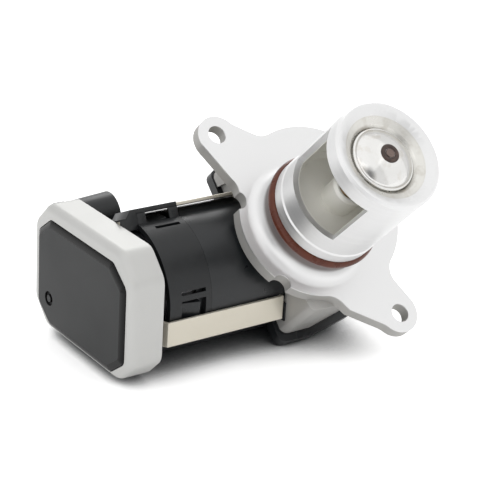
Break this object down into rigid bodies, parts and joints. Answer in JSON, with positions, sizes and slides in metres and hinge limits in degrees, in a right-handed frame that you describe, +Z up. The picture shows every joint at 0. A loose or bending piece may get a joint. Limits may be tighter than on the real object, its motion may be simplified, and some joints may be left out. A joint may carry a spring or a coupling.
{
  "type": "exhaust gas recirculation valve",
  "caption": "Motor-driven exhaust gas recirculation valve: flange with ears, window cage with poppet, planetary gear drive with crank in a black housing, connector and end cap held by straps",
  "frame": {"origin": "centre of the two-hole bolt circle on the flange face, on the valve axis", "axes": "+Z up as the valve lies on a bench, +X along the motor axis from end cap to gear case; the valve axis points to -Y and +Z at 45 degrees"},
  "size_m": [0.1186, 0.1231, 0.0968],
  "materials": {
    "cast_aluminium": "satin die-cast, machined on the neck and tube",
    "black_plastic": "satin moulded, glass filled",
    "lid_plastic": "satin with a glossy bevel",
    "machined_steel": "turned",
    "spring_steel": "bright wire",
    "strap_steel": "rolled strip",
    "brown_rubber": "satin",
    "black_rubber": "matte",
    "bronze": "sintered, matte",
    "gear_steel": "sintered",
    "plated_steel": "zinc plated",
    "ferrite": "matte ceramic",
    "core_steel": "stacked sheets",
    "copper": "bright",
    "carbon": "matte",
    "green_board": "satin lacquer"
  },
  "bodies": {
    "root": {"valve_body": "cast_aluminium", "end_cap": "cast_aluminium", "drive_housing": "black_plastic", "snap_collar": "black_plastic", "connector_housing": "black_plastic", "brush_holder": "black_plastic", "cap_lid": "lid_plastic", "valve_seat": "machined_steel", "return_spring": "spring_steel", "tie_strap_1": "strap_steel", "tie_strap_2": "strap_steel", "tie_strap_3": "strap_steel", "housing_screws": "strap_steel", "neck_o_ring": "brown_rubber", "stem_seal": "black_rubber", "housing_gasket": "black_rubber", "stem_guide": "bronze", "carrier_bush": "bronze", "front_bush": "bronze", "rear_bush": "bronze", "ring_gear": "gear_steel", "motor_can": "plated_steel", "motor_magnets": "ferrite", "connector_pins": "copper", "brushes": "carbon", "circuit_board": "green_board"},
    "rotor": {"rotor_core": "core_steel", "rotor_winding": "copper", "commutator": "copper", "motor_shaft": "machined_steel", "sun_gear": "gear_steel", "sensor_magnet": "ferrite"},
    "crank": {"crank_carrier": "machined_steel", "planet_pins": "machined_steel"},
    "planet_1": {"planet_gear_1": "gear_steel"},
    "planet_2": {"planet_gear_2": "gear_steel"},
    "planet_3": {"planet_gear_3": "gear_steel"},
    "valve": {"valve_stem": "machined_steel", "valve_head": "machined_steel", "spring_plate": "machined_steel", "stem_clip": "machined_steel", "stem_yoke": "machined_steel"}
  },
  "joints": [
    {"name": "valve_lift", "type": "slide", "parent": "root", "child": "valve", "axis": [0, -0.7071, 0.7071], "range_m": [0, 0.007], "stiffness_N_per_m": 800, "springref_m": -0.01, "deforming": ["return_spring"]},
    {"name": "rotor_spin", "type": "hinge", "parent": "root", "child": "rotor", "pos_m": [0, 0.02199, -0.02072], "axis": [1, 0, 0], "range_deg": [-1, 271]},
    {"name": "crank_turn", "type": "hinge", "parent": "root", "child": "crank", "pos_m": [0, 0.02199, -0.02072], "axis": [1, 0, 0], "range_deg": [-1, 61]},
    {"name": "planet_1_spin", "type": "hinge", "parent": "crank", "child": "planet_1", "pos_m": [-0.0135, 0.03279, -0.02072], "axis": [1, 0, 0], "range_deg": [-169, 1]},
    {"name": "planet_2_spin", "type": "hinge", "parent": "crank", "child": "planet_2", "pos_m": [-0.0135, 0.01659, -0.01137], "axis": [1, 0, 0], "range_deg": [-169, 1]},
    {"name": "planet_3_spin", "type": "hinge", "parent": "crank", "child": "planet_3", "pos_m": [-0.0135, 0.01659, -0.03007], "axis": [1, 0, 0], "range_deg": [-169, 1]}
  ],
  "couplings": [
    {"joint": "rotor_spin", "follows": "valve_lift", "rad_per_m": 673.2},
    {"joint": "crank_turn", "follows": "valve_lift", "rad_per_m": 149.6},
    {"joint": "planet_1_spin", "follows": "valve_lift", "rad_per_m": -418.88},
    {"joint": "planet_2_spin", "follows": "valve_lift", "rad_per_m": -418.88},
    {"joint": "planet_3_spin", "follows": "valve_lift", "rad_per_m": -418.88}
  ]
}
